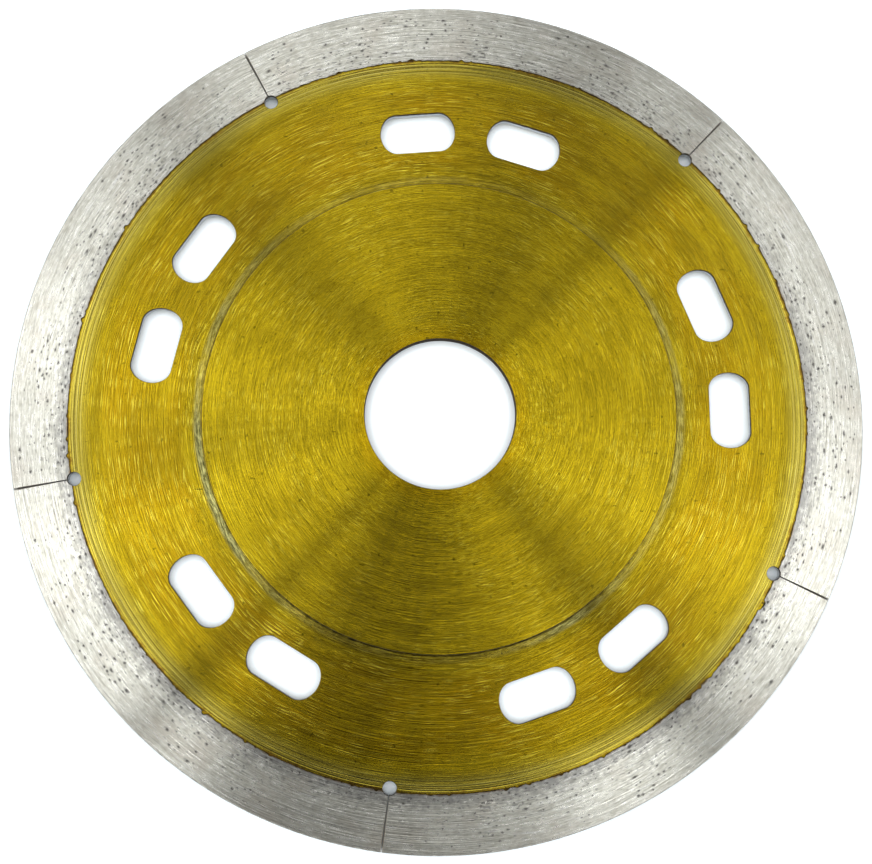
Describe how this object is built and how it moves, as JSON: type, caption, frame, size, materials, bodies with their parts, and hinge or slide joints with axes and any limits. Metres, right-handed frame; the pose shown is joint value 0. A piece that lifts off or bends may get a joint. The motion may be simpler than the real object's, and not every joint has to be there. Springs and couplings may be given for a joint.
{
  "type": "diamond blade",
  "caption": "Flat diamond cutting blade: gold-coated steel core with a raised centre, central bore, oval cooling slots and a slit sintered rim.",
  "frame": {"origin": "centre of the bore, halfway through the core's thickness", "axes": "+Z along the rotation axis, out of the front face; the blade lies flat in the XY plane"},
  "size_m": [0.125, 0.125, 0.002],
  "materials": {
    "gold_coating": "steel ground in circles under a thin gold-coloured coating, satin, with darker and brighter sectors",
    "sintered_rim": "ground sintered metal, silver-grey, with circular scratches and small dark pits where diamond grit shows"
  },
  "bodies": {
    "root": {"core_plate": "gold_coating", "front_hub_disc": "gold_coating", "rear_hub_disc": "gold_coating", "rim_segment_1": "sintered_rim", "rim_segment_2": "sintered_rim", "rim_segment_3": "sintered_rim", "rim_segment_4": "sintered_rim", "rim_segment_5": "sintered_rim"}
  },
  "joints": []
}
